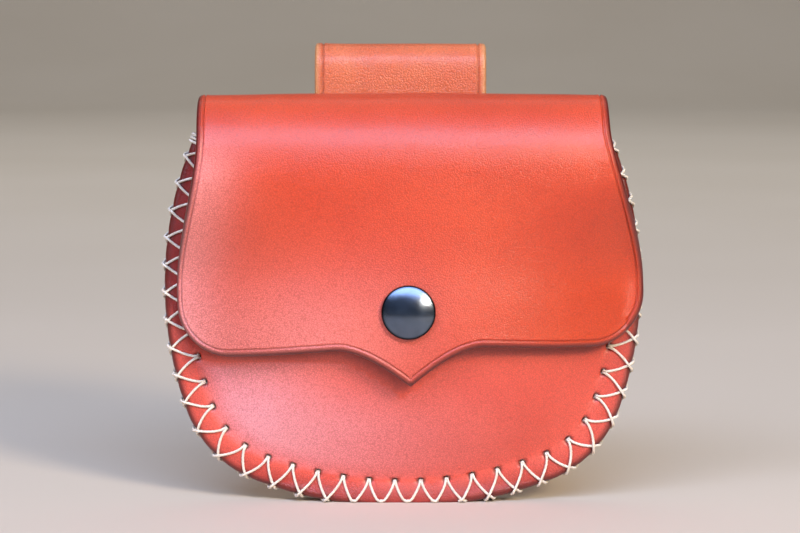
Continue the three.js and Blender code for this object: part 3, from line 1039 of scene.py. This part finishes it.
@dataclass
class ThreadSweep:
    """A node tree that sweeps a three-ply waxed thread along every strand of a mesh of bare edges."""

    radius: float = 0.4
    twist: float = 3.2
    step: float = 0.42
    ply_depth: float = 0.07
    sides: int = 9
    plies: int = 3
    tree: bpy.types.NodeTree = field(init=False)

    def __post_init__(self) -> None:
        """Builds the tree, with its sizes as named inputs."""
        tree = bpy.data.node_groups.new("waxed_thread_sweep", "GeometryNodeTree")
        self.tree = tree
        sockets = {"Strands": "Geometry"}
        sockets |= dict.fromkeys(("Radius", "Twist length", "Step", "Ply depth"), "Float")
        sockets["Thread material"] = "Material"
        for name, kind in sockets.items():
            tree.interface.new_socket(name, in_out="INPUT", socket_type="NodeSocket" + kind)
        tree.interface.new_socket("Thread", in_out="OUTPUT", socket_type="NodeSocketGeometry")
        given = add_node(tree, "NodeGroupInput").outputs
        strand = add_node(tree, "GeometryNodeMeshToCurve", {"Mesh": given["Strands"]})
        smooth = add_node(tree, "GeometryNodeCurveSplineType", {
            "Curve": strand.outputs[0]}, spline_type="CATMULL_ROM")
        spaced = add_node(tree, "GeometryNodeResampleCurve", {
            "Curve": smooth.outputs[0], "Length": given["Step"]}, mode="LENGTH")
        length = add_node(tree, "GeometryNodeSplineParameter").outputs["Length"]
        turns = add_node(tree, "ShaderNodeMath", {0: length, 1: given["Twist length"]}, operation="DIVIDE")
        angle = add_node(tree, "ShaderNodeMath", {
            0: turns.outputs[0], 1: 2 * math.pi}, operation="MULTIPLY")
        twisted = add_node(tree, "GeometryNodeSetCurveTilt", {
            "Curve": spaced.outputs[0], "Tilt": angle.outputs[0]})
        ring = add_node(tree, "GeometryNodeCurvePrimitiveCircle", {
            "Resolution": self.sides, "Radius": given["Radius"]}, mode="RADIUS")
        index = add_node(tree, "GeometryNodeInputIndex").outputs[0]
        lobe = add_node(tree, "ShaderNodeMath", {
            0: index, 1: 2 * math.pi * self.plies / self.sides}, operation="MULTIPLY")
        wave = add_node(tree, "ShaderNodeMath", {0: lobe.outputs[0]}, operation="COSINE")
        bulge = add_node(tree, "ShaderNodeMath", {
            0: wave.outputs[0], 1: given["Ply depth"], 2: 1.0}, operation="MULTIPLY_ADD")
        place = add_node(tree, "GeometryNodeInputPosition").outputs[0]
        pushed = add_node(tree, "ShaderNodeVectorMath", {
            0: place, "Scale": bulge.outputs[0]}, operation="SCALE")
        section = add_node(tree, "GeometryNodeSetPosition", {
            "Geometry": ring.outputs[0], "Position": pushed.outputs[0]})
        swept = add_node(tree, "GeometryNodeCurveToMesh", {
            "Curve": twisted.outputs[0], "Profile Curve": section.outputs[0], "Fill Caps": True})
        real = add_node(tree, "GeometryNodeRealizeInstances", {"Geometry": swept.outputs[0]})
        dressed = add_node(tree, "GeometryNodeSetMaterial", {
            "Geometry": real.outputs[0], "Material": given["Thread material"]})
        add_node(tree, "NodeGroupOutput", {"Thread": dressed.outputs[0]})

    def sweep(self, name: str, strands: list[Array], material: bpy.types.Material) -> bpy.types.Object:
        """Sweeps thread along strands.

        Args:
            name: The piece's name.
            strands: The points that each strand follows, in the frame, in metres.
            material: The thread's finish.

        Returns:
            The thread as a plain mesh.
        """
        edges, count = [], 0
        for strand in strands:
            edges += [(count + k, count + k + 1) for k in range(len(strand) - 1)]
            count += len(strand)
        guide_mesh = new_mesh(name + "_guide", np.vstack(strands).tolist(), edges, [])
        guide = bpy.data.objects.new(name + "_guide", guide_mesh)
        bpy.context.scene.collection.objects.link(guide)
        modifier = guide.modifiers.new("sweep", "NODES")
        modifier.node_group = self.tree
        values = {
            "Radius": self.radius * MM,
            "Twist length": self.twist * MM,
            "Step": self.step * MM,
            "Ply depth": self.ply_depth,
            "Thread material": material,
        }
        for item in self.tree.interface.items_tree:
            if item.in_out == "INPUT" and item.name in values:
                modifier[item.identifier] = values[item.name]
        evaluated = guide.evaluated_get(bpy.context.evaluated_depsgraph_get())
        mesh = bpy.data.meshes.new_from_object(evaluated)
        guide.modifiers.remove(modifier)
        bpy.data.objects.remove(guide)
        bpy.data.meshes.remove(guide_mesh)
        mesh.name = name
        return new_piece(name, mesh)


@dataclass
class Lacing:
    """Waxed thread: crossed over the rim in two passes, and in plain rows where the belt loop is sewn on."""

    form: PurseForm
    sweep: ThreadSweep
    sunk: float = 0.12
    aside: float = 0.2
    steep: float = 2.3
    slack: float = 1.7
    even: float = 1.65
    close: float = 1.25
    close_run: Span = (-130.0, -80.0)
    right_run: Span = (-20.0, 30.0)
    hand: float = 0.1
    hand_turn: float = 7.3
    hand_phase: float = 2.0
    bow: float = 1.5
    over_rise: float = 1.4
    over_width: float = 1.7
    hole_dip: float = -0.5
    points: int = 21
    floor_room: float = 1.3
    lock_turns: int = 3
    lock_pitch: float = 0.95
    row_heights: tuple[float, ...] = (57.5, 64.0)
    row_margin: float = 4.0
    row_stitch: float = 4.6
    row_gap: float = 1.6
    row_shares: tuple[float, ...] = (0.0, 0.04, 0.2, 0.5, 0.8, 0.96, 1.0)
    row_dips: Span = (-1.2, -0.3)

    @property
    def lift(self) -> float:
        """How far the thread's middle stands above the leather."""
        return self.sweep.radius - self.sunk

    def over_rim(self, along: float, way: float, rise: float) -> Array:
        """Gives a point of a thread that runs over the rim.

        Args:
            along: Its place along the seam.
            way: Its distance from the hole, down the front, across the edge and up the back.
            rise: Its height above the leather.

        Returns:
            The point on the upright purse.
        """
        form, hole = self.form, self.form.seam.hole_inset
        bend = form.leather / 2
        middle = hole + form.front_face
        side, reach = (-1.0, way) if way <= middle else (1.0, 2 * middle - way)
        if reach < hole - bend:
            inset, depth = hole - reach, form.front_face + rise
        elif reach < hole + bend:
            turn = (reach - hole + bend) / (2 * bend) * math.pi / 2
            inset = bend - (bend + rise) * math.sin(turn)
            depth = form.front_face - bend + (bend + rise) * math.cos(turn)
        else:
            inset, depth = -rise, middle - reach
        x, v = form.seam_spots(np.array([along]), np.array([inset]))[0]
        return np.array([x, side * (depth + form.foot(v)), v])

    def stitch(self, start: float, end: float, ease: float, over: bool) -> list[Array]:
        """Lays one stitch from a hole, down the front, round the rim and up the back to the next hole.

        Args:
            start: The first hole's place along the seam.
            end: The next hole's place.
            ease: How soon the thread makes its way along the seam: 1 for evenly, more for sooner.
            over: Whether it lies on top where two stitches cross.

        Returns:
            Its points on the upright purse.
        """
        hole = self.form.seam.hole_inset
        length = 2 * (hole + self.form.front_face)
        aside = self.aside * math.copysign(1.0, end - start)
        gone = 1.0 - (1.0 - hole / length) ** ease
        if gone > 0.5:
            crossing = hole * (0.5 / gone) ** (1.0 / self.bow)
        else:
            crossing = mix(hole, length, (0.5 - gone) / (1.0 - gone))
        points = [self.over_rim(start + aside, 0.0, -self.form.front_face)]
        for share in np.linspace(0.0, 1.0, self.points):
            way = length * share
            front, rest = min(way / hole, 1.0), max((way - hole) / (length - hole), 0.0)
            along = mix(start, end, gone * front ** self.bow + (1.0 - gone) * rest) + aside
            crest = self.over_rise * self.sweep.radius * hump(way - crossing, self.over_width)
            rise = self.lift + (crest if over else 0.0)
            points.append(self.over_rim(along, way, self.hole_dip if share in (0.0, 1.0) else rise))
        return points

    def pass_round(self, places: Array, over: bool) -> Array:
        """Lays one pass of stitches through all the holes, with locking turns at its end.

        Args:
            places: The holes along the seam, in the order sewn.
            over: Whether this pass lies on top of the other.

        Returns:
            Its points in the frame, in metres.
        """
        points: list[Array] = []
        for k, (start, end) in enumerate(zip(places, places[1:])):
            climbing = abs(end) > abs(start)
            middle = (start + end) / 2
            ease = mix(self.close, self.even, smoothstep(middle, *self.close_run))
            ease = mix(ease, self.slack if climbing else self.steep, smoothstep(middle, *self.right_run))
            ease += self.hand * math.sin(self.hand_turn * k + self.hand_phase * over)
            points += self.stitch(start, end, ease, over)
        step = math.copysign(self.lock_pitch, places[-1])
        for turn in range(self.lock_turns):
            points += self.stitch(places[-1] + turn * step, places[-1] + (turn + 1) * step, 1.0, over)
        placed = self.form.place(np.array(points))
        placed[:, 2] = np.maximum(placed[:, 2], self.floor_room * self.sweep.radius * MM)
        return placed

    def rim(self, material: bpy.types.Material) -> bpy.types.Object:
        """Laces the rim with two crossing passes.

        Args:
            material: The thread's finish.

        Returns:
            The lacing.
        """
        places = self.form.seam_places()
        strands = [self.pass_round(places, False), self.pass_round(places[::-1], True)]
        return self.sweep.sweep("thread_rim_lacing", strands, material)

    def loop_rows(self, material: bpy.types.Material) -> bpy.types.Object:
        """Sews the belt loop's two ends to the back panel with plain rows of stitches.

        Args:
            material: The thread's finish.

        Returns:
            The stitches.
        """
        form, loop = self.form, self.form.loop
        face = form.front_face + 2 * (form.leather + form.seat_gap)
        pitch = self.row_stitch + self.row_gap
        count = int(2 * (loop.half - self.row_margin) / pitch)
        start = loop.shift - (count * pitch - self.row_gap) / 2
        across = np.array(self.row_shares) * self.row_stitch
        deep, dip = self.row_dips
        heights = face + np.array([deep, dip, self.lift, self.lift, self.lift, dip, deep])
        strands = []
        for v in self.row_heights:
            for k in range(count):
                run = np.column_stack([start + k * pitch + across, heights, np.full(len(across), v)])
                strands.append(form.place(run))
        return self.sweep.sweep("thread_loop_rows", strands, material)


# Press snap

@dataclass
class PressSnap:
    """The snap's domed cap with its turned-down rim and the shank that goes through the flap."""

    form: PurseForm
    radius: float = 7.5
    rim: float = 0.6
    painted_dark_rim: Span = (1.3, 0.5)
    lift: float = 0.3
    rise: float = 3.0
    shank: float = 2.0
    shank_reach: float = 4.0
    roll_steps: int = 14
    dome_steps: int = 28
    sides: int = 96

    def profile(self) -> Array:
        """Draws half the cap's section.

        Returns:
            Its points, as radius and height above the flap's grain face.
        """
        inner = self.radius - self.rim
        base = self.lift + self.rim
        slope = math.atan2(2 * (self.rise - base - self.rim), inner)
        turn = around(np.linspace(-math.pi / 2, math.pi / 2 - slope, self.roll_steps))
        roll = (inner, base) + self.rim * turn
        share = np.linspace(1.0, 0.0, self.dome_steps)[1:]
        dome = np.column_stack([roll[-1, 0] * share, mix(self.rise, roll[-1, 1], share ** 2)])
        stem = [[0.0, -self.shank_reach], [self.shank, -self.shank_reach], [self.shank, self.lift]]
        return np.vstack([stem, roll, dome])

    def build(self) -> bpy.types.Object:
        """Turns the cap about its axis and seats it on the flap.

        Returns:
            The cap.
        """
        profile, sides = self.profile(), self.sides
        seat, outward = self.form.snap_seat()
        across = np.array([1.0, 0.0, 0.0])
        axes = np.array([across, np.cross(outward, across)])
        circle = around(np.arange(sides) * 2 * math.pi / sides) @ axes
        rings = [seat + radius * circle + height * outward for radius, height in profile[1:-1]]
        ends = seat + profile[[0, -1], 1][:, None] * outward
        top, first = (len(rings) - 1) * sides, len(rings) * sides
        steps = [(j, (j + 1) % sides) for j in range(sides)]
        faces = [
            (low + j, low + k, low + k + sides, low + j + sides)
            for low in range(0, top, sides) for j, k in steps
        ]
        for j, k in steps:
            faces += [(k, j, first), (top + j, top + k, first + 1)]
        mesh = new_mesh("snap_domed_cap", self.form.place(np.vstack([*rings, ends])).tolist(), [], faces)
        # Painted reflection: the turned-down rim is marked for a near-black colour, a dark reflection painted
        # on
        dark = (self.radius - share * self.rim for share in self.painted_dark_rim)
        turned = smoothstep(profile[1:-1, 0], *dark)
        set_mark(mesh, "edge", np.concatenate([np.repeat(turned, sides), [0.0, 0.0]]))
        return new_piece("snap_domed_cap", mesh)


# Finishes

@dataclass(frozen=True)
class Finish:
    """A finish's name, and the start of its material."""

    name: str

    def begin(self) -> tuple[bpy.types.Material, bpy.types.ShaderNode, bpy.types.NodeSocket]:
        """Starts the material.

        Returns:
            The material, its shader and its Object coordinates.
        """
        material = bpy.data.materials.new(self.name)
        material.use_nodes = True
        place = add_node(material.node_tree, "ShaderNodeTexCoord").outputs["Object"]
        return material, material.node_tree.nodes["Principled BSDF"], place


@dataclass(frozen=True)
class TannedLeather(Finish):
    """Vegetable-tanned cowhide, drum-dyed, waxed and rubbed: a soft broad shine over a fine pebbled grain."""

    deep: str
    bright: str
    flesh: str
    edge: str
    # The pale colour of the painted sheen, then the deep colour of the painted shadow and shade
    painted_light: str = "FFA8A4"
    shade: str = "8F1C10"
    mottle_mm: float = 26.0
    mottle: Span = (0.3, 0.7)
    mottle_detail: float = 4.0
    mottle_fineness: float = 0.55
    grain_mm: float = 0.62
    grain_drift: float = 2.5
    valley: float = 0.22
    pore_mm: float = 0.55
    pore_weight: float = 2.0
    heights: Span = (0.8, 2.2)
    sunk: Span = (0.8, 1.1)
    raised: Span = (0.8, 1.14)
    pit: float = 0.3
    grain_lift: float = 0.26
    relief_mm: float = 0.25
    roughness: float = 0.32
    flesh_dull: float = 0.4
    wear_dull: float = 0.12
    shine: float = 0.55
    wax: float = 0.36
    wax_roughness: float = 0.28

    def material(self) -> bpy.types.Material:
        """Builds the material.

        Returns:
            The material, which reads the attributes edge, flesh, pit and tone of a leather piece.
        """
        material, shader, place = self.begin()
        tree = material.node_tree
        # Dye takes unevenly in clouds, which gives the eye a hide and not a plastic
        clouds = add_node(tree, "ShaderNodeTexNoise", {
            "Vector": place, "Scale": per_metre(self.mottle_mm),
            "Detail": self.mottle_detail, "Roughness": self.mottle_fineness})
        dye = add_node(tree, "ShaderNodeMapRange", {
            "Value": clouds.outputs["Fac"], "From Min": self.mottle[0], "From Max": self.mottle[1],
        }, interpolation_type="SMOOTHSTEP")
        # Pebbles of the grain, drawn a little coarser than real so that they show, and pores between them
        drift = add_node(tree, "ShaderNodeTexNoise", {
            "Vector": place, "Scale": per_metre(self.grain_drift * self.grain_mm)})
        bent = add_node(tree, "ShaderNodeVectorMath", {
            0: drift.outputs["Color"], 1: (self.grain_mm * MM,) * 3, 2: place}, operation="MULTIPLY_ADD")
        pebbles = add_node(tree, "ShaderNodeTexVoronoi", {
            "Vector": bent.outputs[0], "Scale": per_metre(self.grain_mm)}, feature="DISTANCE_TO_EDGE")
        valleys = add_node(tree, "ShaderNodeMapRange", {
            "Value": pebbles.outputs["Distance"], "From Max": self.valley}, interpolation_type="SMOOTHSTEP")
        pores = add_node(tree, "ShaderNodeTexNoise", {"Vector": place, "Scale": per_metre(self.pore_mm)})
        height = add_node(tree, "ShaderNodeMath", {
            0: pores.outputs["Fac"], 1: self.pore_weight, 2: valleys.outputs[0]}, operation="MULTIPLY_ADD")
        edge, flesh, pit, painted_tone = (
            add_node(tree, "ShaderNodeAttribute", attribute_name=mark).outputs["Fac"]
            for mark in ("edge", "flesh", "pit", "painted_tone")
        )
        sunk, raised = (
            add_node(tree, "ShaderNodeMapRange", {
                "Value": height.outputs[0], "From Min": self.heights[0], "From Max": self.heights[1],
                "To Min": low, "To Max": high}).outputs[0]
            for low, high in (self.sunk, self.raised)
        )
        # Painted sheen: where the painted tone is above zero, the raised grain is veiled pale and the valleys
        # stay red
        sheen_on_grain = add_node(tree, "ShaderNodeMath", {0: painted_tone, 1: raised}, operation="MULTIPLY").outputs[0]
        # Painted shadow and shade: where the painted tone is below zero, under the flap's edge and on the
        # margin, the colour goes toward the deep shade colour
        kept = add_node(tree, "ShaderNodeMath", {0: painted_tone, 1: -1.0}, operation="MULTIPLY").outputs[0]
        # Painted shade: the holes and the crease groove are darkened
        dark = add_node(tree, "ShaderNodeMapRange", {
            "Value": pit, "To Min": 1.0, "To Max": self.pit}).outputs[0]
        colour = linear(self.deep)
        for share, layer, blend in (
            (dye.outputs[0], linear(self.bright), "MIX"),
            (sheen_on_grain, linear(self.painted_light), "MIX"),
            (kept, linear(self.shade), "MIX"),
            (1.0, sunk, "MULTIPLY"),
            (flesh, linear(self.flesh), "MIX"),
            (edge, linear(self.edge), "MIX"),
            (1.0, dark, "MULTIPLY"),
        ):
            colour = add_node(tree, "ShaderNodeMix", {
                0: share, 6: colour, 7: layer}, data_type="RGBA", blend_type=blend).outputs[2]
        tree.links.new(colour, shader.inputs["Base Color"])
        dull = add_node(tree, "ShaderNodeMath", {
            0: flesh, 1: self.flesh_dull, 2: self.roughness}, operation="MULTIPLY_ADD")
        worn = add_node(tree, "ShaderNodeMath", {
            0: clouds.outputs["Fac"], 1: self.wear_dull, 2: dull.outputs[0]}, operation="MULTIPLY_ADD")
        tree.links.new(worn.outputs[0], shader.inputs["Roughness"])
        bump = add_node(tree, "ShaderNodeBump", {
            "Height": height.outputs[0], "Strength": self.grain_lift, "Distance": self.relief_mm * MM})
        tree.links.new(bump.outputs[0], shader.inputs["Normal"])
        shader.inputs["Specular IOR Level"].default_value = self.shine
        shader.inputs["Coat Weight"].default_value = self.wax
        shader.inputs["Coat Roughness"].default_value = self.wax_roughness
        return material


@dataclass(frozen=True)
class CloudedFinish(Finish):
    """A finish of two close tones in clouds of one size."""

    low: str
    high: str
    cloud_mm: float
    detail: float
    roughness: float
    rough_swing: float = 0.0
    bump: float = 0.0
    bump_mm: float = 0.1
    metallic: float = 0.0
    rim: str = ""

    def material(self) -> bpy.types.Material:
        """Builds the material.

        Returns:
            The material, which reads the attribute edge where the finish has a rim of its own.
        """
        material, shader, place = self.begin()
        tree = material.node_tree
        clouds = add_node(tree, "ShaderNodeTexNoise", {
            "Vector": place, "Scale": per_metre(self.cloud_mm), "Detail": self.detail}).outputs["Fac"]
        colour = add_node(tree, "ShaderNodeMix", {
            0: clouds, 6: linear(self.low), 7: linear(self.high)}, data_type="RGBA").outputs[2]
        # Painted reflection: a dark rim colour laid over the edge attribute
        if self.rim:
            rim = add_node(tree, "ShaderNodeAttribute", attribute_name="edge").outputs["Fac"]
            colour = add_node(tree, "ShaderNodeMix", {
                0: rim, 6: colour, 7: linear(self.rim)}, data_type="RGBA").outputs[2]
        tree.links.new(colour, shader.inputs["Base Color"])
        shader.inputs["Metallic"].default_value = self.metallic
        shader.inputs["Roughness"].default_value = self.roughness
        if self.rough_swing:
            rough = add_node(tree, "ShaderNodeMath", {
                0: clouds, 1: self.rough_swing, 2: self.roughness}, operation="MULTIPLY_ADD")
            tree.links.new(rough.outputs[0], shader.inputs["Roughness"])
        if self.bump:
            bump = add_node(tree, "ShaderNodeBump", {
                "Height": clouds, "Strength": self.bump, "Distance": self.bump_mm * MM})
            tree.links.new(bump.outputs[0], shader.inputs["Normal"])
        return material


@dataclass(frozen=True)
class WaxedThread(CloudedFinish):
    """Waxed linen thread: pale and slightly glossy, with stray darker fibres in its plies."""

    name: str = "waxed_linen_thread"
    low: str = "D8CEBA"
    high: str = "F2ECE0"
    cloud_mm: float = 0.7
    detail: float = 3.0
    roughness: float = 0.55
    bump: float = 0.3


@dataclass(frozen=True)
class Gunmetal(CloudedFinish):
    """Steel plated black nickel and tumbled: a dark hazy mirror, with a painted dark reflection where its rim
    turns down.
    """

    name: str = "black_nickel_plated_steel"
    low: str = "525C6C"
    high: str = "727F92"
    cloud_mm: float = 3.0
    detail: float = 5.0
    roughness: float = 0.16
    rough_swing: float = 0.12
    metallic: float = 1.0
    # Painted reflection: the near-black colour of the turned-down rim
    rim: str = "23262C"


@dataclass(frozen=True)
class PaleFloor(CloudedFinish):
    """Matt painted board: a pale warm floor with the faintest clouding."""

    name: str = "matt_painted_floor"
    low: str = "C8BDAC"
    high: str = "D3C9BA"
    cloud_mm: float = 300.0
    detail: float = 2.0
    roughness: float = 0.75


# Studio

@dataclass(frozen=True)
class SoftBox:
    """A soft studio light: its place, size, brightness and aim, and whether shiny things mirror it."""

    name: str
    place: tuple[float, float, float]
    size: Span
    brightness: float
    colour: str
    aim: tuple[float, float, float] = (0.0, 0.0, 0.065)
    mirrored: bool = True

    def hang(self) -> None:
        """Hangs the light."""
        lamp = bpy.data.lights.new(self.name, "AREA")
        lamp.shape = "RECTANGLE"
        lamp.size, lamp.size_y = self.size
        lamp.energy = math.pi * self.size[0] * self.size[1] * self.brightness
        lamp.color = linear(self.colour)[:3]
        light = bpy.data.objects.new(self.name, lamp)
        light.location = self.place
        light.visible_glossy = self.mirrored
        light.rotation_euler = (Vector(self.aim) - Vector(self.place)).to_track_quat("-Z", "Y").to_euler()
        bpy.context.scene.collection.objects.link(light)


@dataclass
class Studio:
    """The floor, the lights and the camera."""

    floor_half: float = 6.0
    floor_back: float = 2.2
    wall_bend: float = 1.6
    wall_steps: int = 24
    wall_top: float = 4.0
    camera_place: tuple[float, float, float] = (-0.00084, -0.7253, 0.1488)
    camera_drop: float = math.radians(6.42)
    focal_px: float = 2565.0
    picture_px: float = 800.0
    sensor_mm: float = 36.0
    sky: str = "D6D9DE"
    sky_strength: float = 0.12
    lights: tuple[SoftBox, ...] = (
        SoftBox("key_right", (0.76, -1.0, 0.7), (0.31, 0.31), 50.5, "FFE6C4"),
        SoftBox("sky_front", (-0.1, -0.9, 1.13), (1.9, 0.5), 9.4, "C0D4FF"),
        SoftBox("overhead", (0.0, 0.15, 1.5), (1.2, 0.9), 0.5, "FFF4E6"),
        SoftBox("fill_left", (-1.1, -1.0, 0.42), (0.9, 0.7), 3.8, "FFE2D8", mirrored=False),
        SoftBox("room_front", (0.0, -3.0, 0.75), (5.0, 1.5), 0.16, "8FB0DC"),
        SoftBox("backdrop", (0.0, 0.9, 1.7), (2.4, 0.5), 6.0, "FFFFFF", (0.0, 2.6, 0.2)),
    )

    def backdrop(self) -> None:
        """Lays the floor, which bends up into a wall far behind the purse."""
        turn = around(np.linspace(0.0, math.pi / 2, self.wall_steps))
        bend = (self.floor_back, self.wall_bend) + self.wall_bend * turn[:, ::-1] * (1, -1)
        run = [(-self.floor_half, 0.0), *bend.tolist(), (bend[-1, 0], self.wall_top)]
        corners = [(side * self.floor_half, y, z) for y, z in run for side in (-1, 1)]
        faces = [(2 * k, 2 * k + 1, 2 * k + 3, 2 * k + 2) for k in range(len(run) - 1)]
        mesh = new_mesh("floor", corners, [], faces)
        mesh.materials.append(PaleFloor().material())
        new_piece("floor", mesh)

    def build(self) -> None:
        """Sets the studio up round the purse."""
        scene = bpy.context.scene
        self.backdrop()
        for light in self.lights:
            light.hang()
        world = bpy.data.worlds.new("soft_sky")
        world.use_nodes = True
        sky = world.node_tree.nodes["Background"].inputs
        sky["Color"].default_value = linear(self.sky)
        sky["Strength"].default_value = self.sky_strength
        scene.world = world
        scene.view_settings.view_transform = "Standard"
        lens = bpy.data.cameras.new("camera")
        lens.sensor_width = self.sensor_mm
        lens.lens = self.focal_px * self.sensor_mm / self.picture_px
        camera = bpy.data.objects.new("camera", lens)
        camera.location = self.camera_place
        camera.rotation_euler = (math.pi / 2 - self.camera_drop, 0.0, 0.0)
        scene.collection.objects.link(camera)
        bpy.context.scene.camera = camera


# Assembly

class Slot(Enum):
    """The part's material slots."""

    LEATHER = "leather"
    LOOP_LEATHER = "loop_leather"
    GUNMETAL = "gunmetal"


@dataclass(frozen=True)
class Dressing:
    """The slot that a finished piece belongs to, and the nodes of the frame that it stands for."""

    slot: Slot
    replaced: tuple[str, ...] = ()

    def put(self, piece: bpy.types.Object, material: bpy.types.Material | None = None) -> None:
        """Dresses a piece and makes it ride with the purse.

        Args:
            piece: The finished piece.
            material: Its finish, unless it has one already.
        """
        if material:
            piece.data.materials.clear()
            piece.data.materials.append(material)
        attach(piece, BODY)
        if self.replaced:
            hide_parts(*self.replaced)
        log.info("%s: %d faces, slot %s", piece.name, len(piece.data.polygons), self.slot.value)


def main() -> None:
    """Builds the purse's pieces in order, dresses them and sets the studio up."""
    logging.basicConfig(level=logging.INFO, format="%(name)s: %(message)s")
    form = PurseForm()
    body_leather = TannedLeather("red_orange_tanned_leather", "BE3814", "C84018", "C9785A", "5E0C04")
    # The front's leather is a little pinker in its own right, and drawn lighter and pinker still as painted
    # sheen
    front_leather = TannedLeather("rose_red_leather_with_painted_sheen", "D85240", "E05C4A", "C9785A", "641408", "FFA8B2")
    loop_leather = TannedLeather(
        "orange_tanned_leather", "C45A34", "D26E40", "CF8A62", "C98A58", grain_mm=0.75, grain_lift=0.36)
    gunmetal = Gunmetal().material()
    thread = WaxedThread().material()

    pieces = LeatherPieces(form, PaintedSheenAndShadow(form))
    Dressing(Slot.LEATHER, ("back_and_flap",)).put(pieces.back_and_flap(), body_leather.material())
    Dressing(Slot.LEATHER, ("front_panel",)).put(pieces.front_panel(), front_leather.material())
    Dressing(Slot.LOOP_LEATHER, ("belt_loop",)).put(pieces.belt_loop(), loop_leather.material())
    Dressing(Slot.GUNMETAL, ("snap_cap",)).put(PressSnap(form).build(), gunmetal)
    for node in ("snap_socket", "snap_stud", "snap_post"):
        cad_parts[node].data.materials.clear()
        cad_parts[node].data.materials.append(gunmetal)
        log.info("%s: the frame's own solid in gunmetal", node)
    lacing = Lacing(form, ThreadSweep())
    Dressing(Slot.LEATHER).put(lacing.rim(thread))
    Dressing(Slot.LEATHER).put(lacing.loop_rows(thread))

    Studio().build()


if __name__ == "__main__":
    main()
